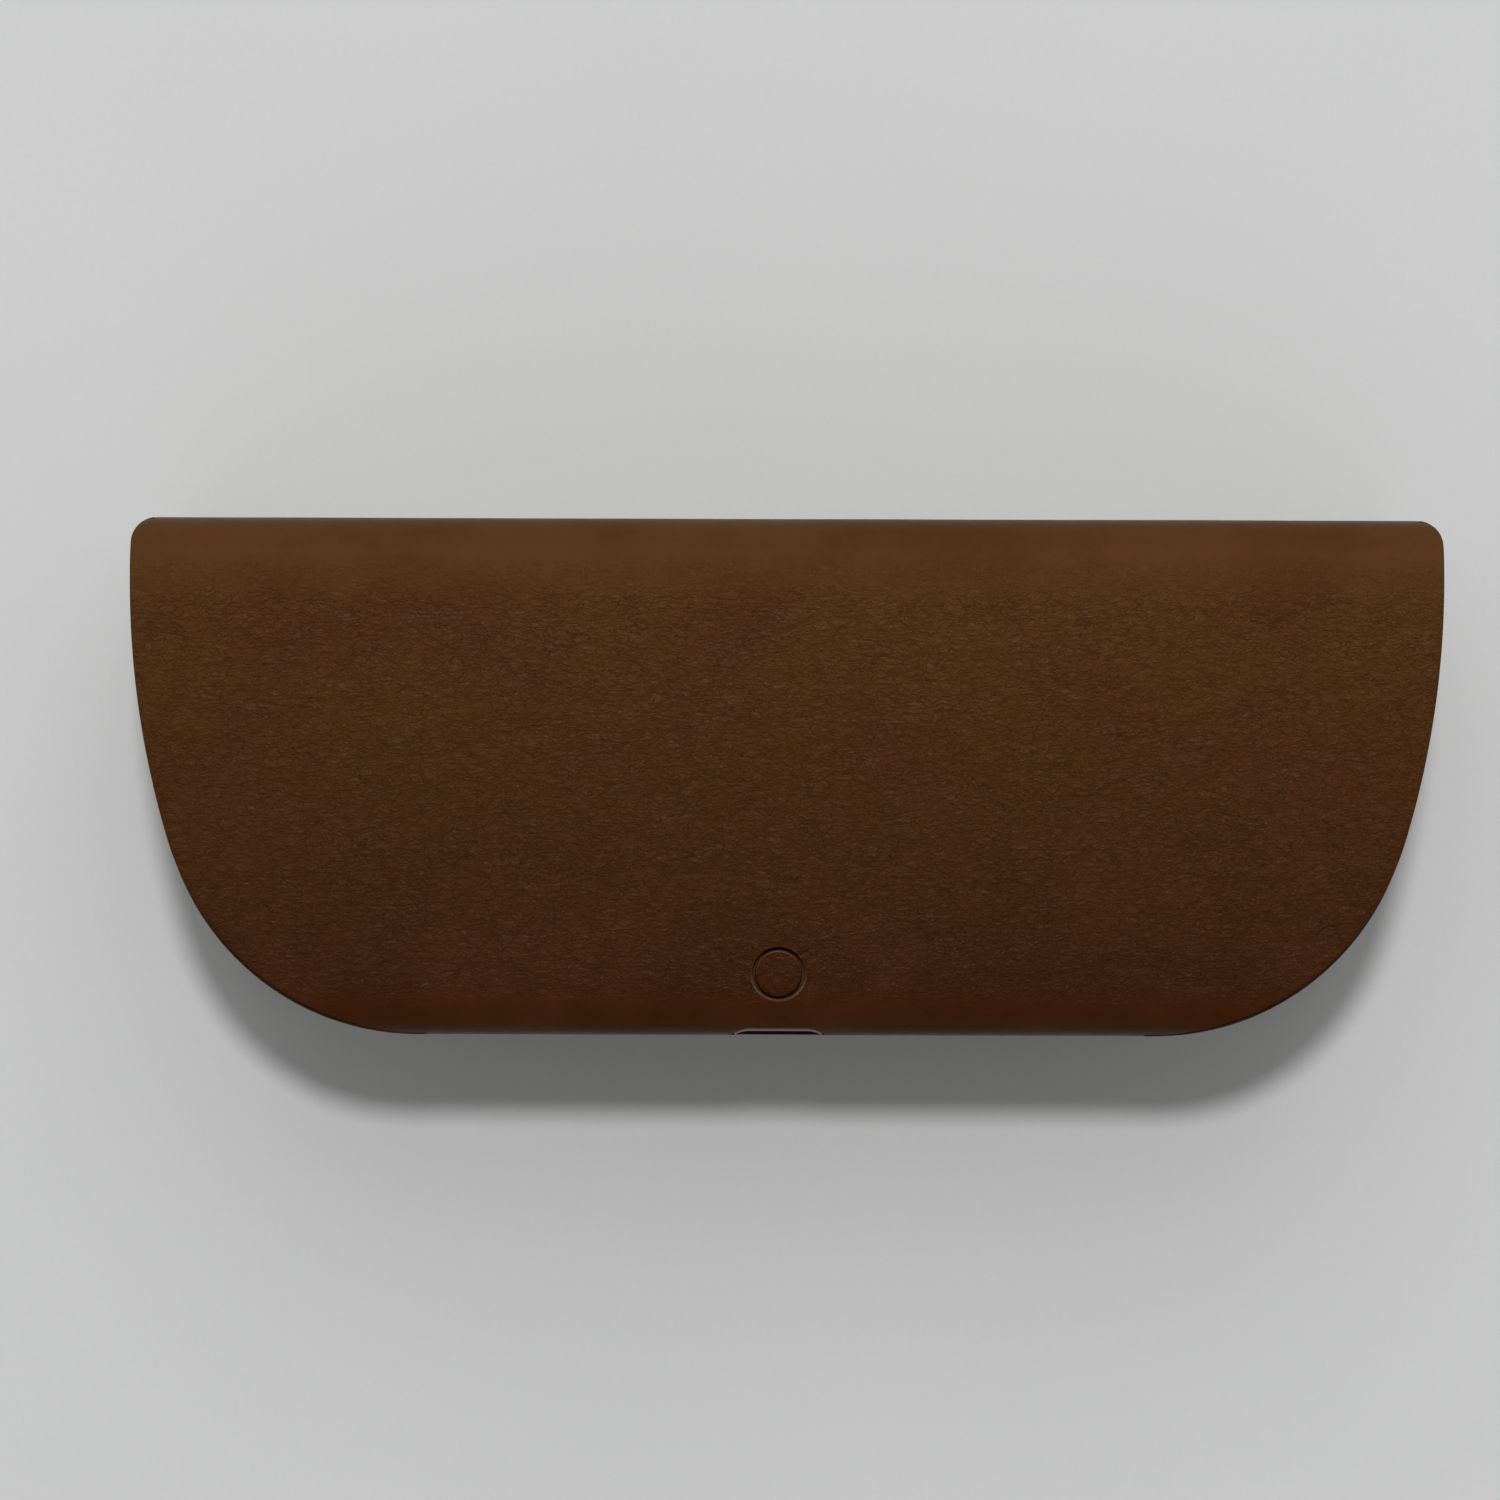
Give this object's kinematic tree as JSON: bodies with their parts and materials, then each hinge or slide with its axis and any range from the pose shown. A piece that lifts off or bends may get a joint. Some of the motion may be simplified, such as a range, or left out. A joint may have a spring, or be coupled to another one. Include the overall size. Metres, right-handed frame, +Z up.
{
  "type": "charging glasses case",
  "caption": "Rigid leather-covered glasses case with a D-shaped back, a hinged front flap, a lined hollow with a charging saddle, a pairing button and a charging port.",
  "frame": {"origin": "middle of the flap face that the closed case lies on", "axes": "+X along the length, +Y towards the folded spine edge, +Z up out of the back panel"},
  "size_m": [0.162, 0.064, 0.052],
  "materials": {
    "brown_leather": "pebbled, satin",
    "stiff_board": "matt",
    "dark_plastic": "matt",
    "microfibre": "short nap",
    "soft_pad": "matt",
    "nickel": "satin",
    "screw_steel": "satin",
    "bezel_plastic": "satin",
    "circuit_board": "satin",
    "battery_foil": "dull foil",
    "foam_tape": "matt",
    "flex_film": "amber film",
    "light_chip": "gloss",
    "clear_lens": "frosted",
    "gold_contact": "polished"
  },
  "bodies": {
    "front_flap": {"flap_leather": "brown_leather", "flap_board": "stiff_board", "flap_lining": "microfibre", "flap_magnets": "nickel", "hinge_leather": "brown_leather"},
    "case_body": {"back_leather": "brown_leather", "left_gusset": "brown_leather", "right_gusset": "brown_leather", "tub_shell": "dark_plastic", "back_plate": "dark_plastic", "plate_screws": "screw_steel", "mouth_trim": "brown_leather", "inner_lining": "microfibre", "rim_magnets": "nickel", "port_bezel": "bezel_plastic", "port_socket": "nickel", "port_tongue": "dark_plastic", "main_board": "circuit_board", "board_screws": "screw_steel", "board_chips": "dark_plastic", "battery_cell": "battery_foil", "battery_tape": "foam_tape", "battery_tab": "nickel", "tact_switch": "dark_plastic", "charging_saddle": "dark_plastic", "saddle_pad": "soft_pad", "saddle_screws": "screw_steel", "pin_block": "dark_plastic", "pin_flex": "flex_film", "status_light": "light_chip", "light_lens": "clear_lens", "pin_spring_1": "screw_steel", "pin_spring_2": "screw_steel", "pin_spring_3": "screw_steel"},
    "pairing_button": {"button_cap": "dark_plastic", "button_leather": "brown_leather", "switch_plunger": "dark_plastic"},
    "charge_pin_1": {"charge_pin_1": "gold_contact"},
    "charge_pin_2": {"charge_pin_2": "gold_contact"},
    "charge_pin_3": {"charge_pin_3": "gold_contact"}
  },
  "joints": [
    {"name": "flap_hinge", "type": "hinge", "parent": "front_flap", "child": "case_body", "pos_m": [0, 0.029, 0.003], "axis": [-1, 0, 0], "range_deg": [0, 110], "deforming": ["hinge_leather"]},
    {"name": "button_press", "type": "slide", "parent": "case_body", "child": "pairing_button", "axis": [0, 0, -1], "range_m": [0, 0.0004], "stiffness_N_per_m": 2000, "springref_m": -0.0002},
    {"name": "pin_1_travel", "type": "slide", "parent": "case_body", "child": "charge_pin_1", "axis": [0, -1, 0], "range_m": [0, 0.0008], "stiffness_N_per_m": 600, "springref_m": -0.0005, "deforming": ["pin_spring_1"]},
    {"name": "pin_2_travel", "type": "slide", "parent": "case_body", "child": "charge_pin_2", "axis": [0, -1, 0], "range_m": [0, 0.0008], "stiffness_N_per_m": 600, "springref_m": -0.0005, "deforming": ["pin_spring_2"]},
    {"name": "pin_3_travel", "type": "slide", "parent": "case_body", "child": "charge_pin_3", "axis": [0, -1, 0], "range_m": [0, 0.0008], "stiffness_N_per_m": 600, "springref_m": -0.0005, "deforming": ["pin_spring_3"]}
  ]
}
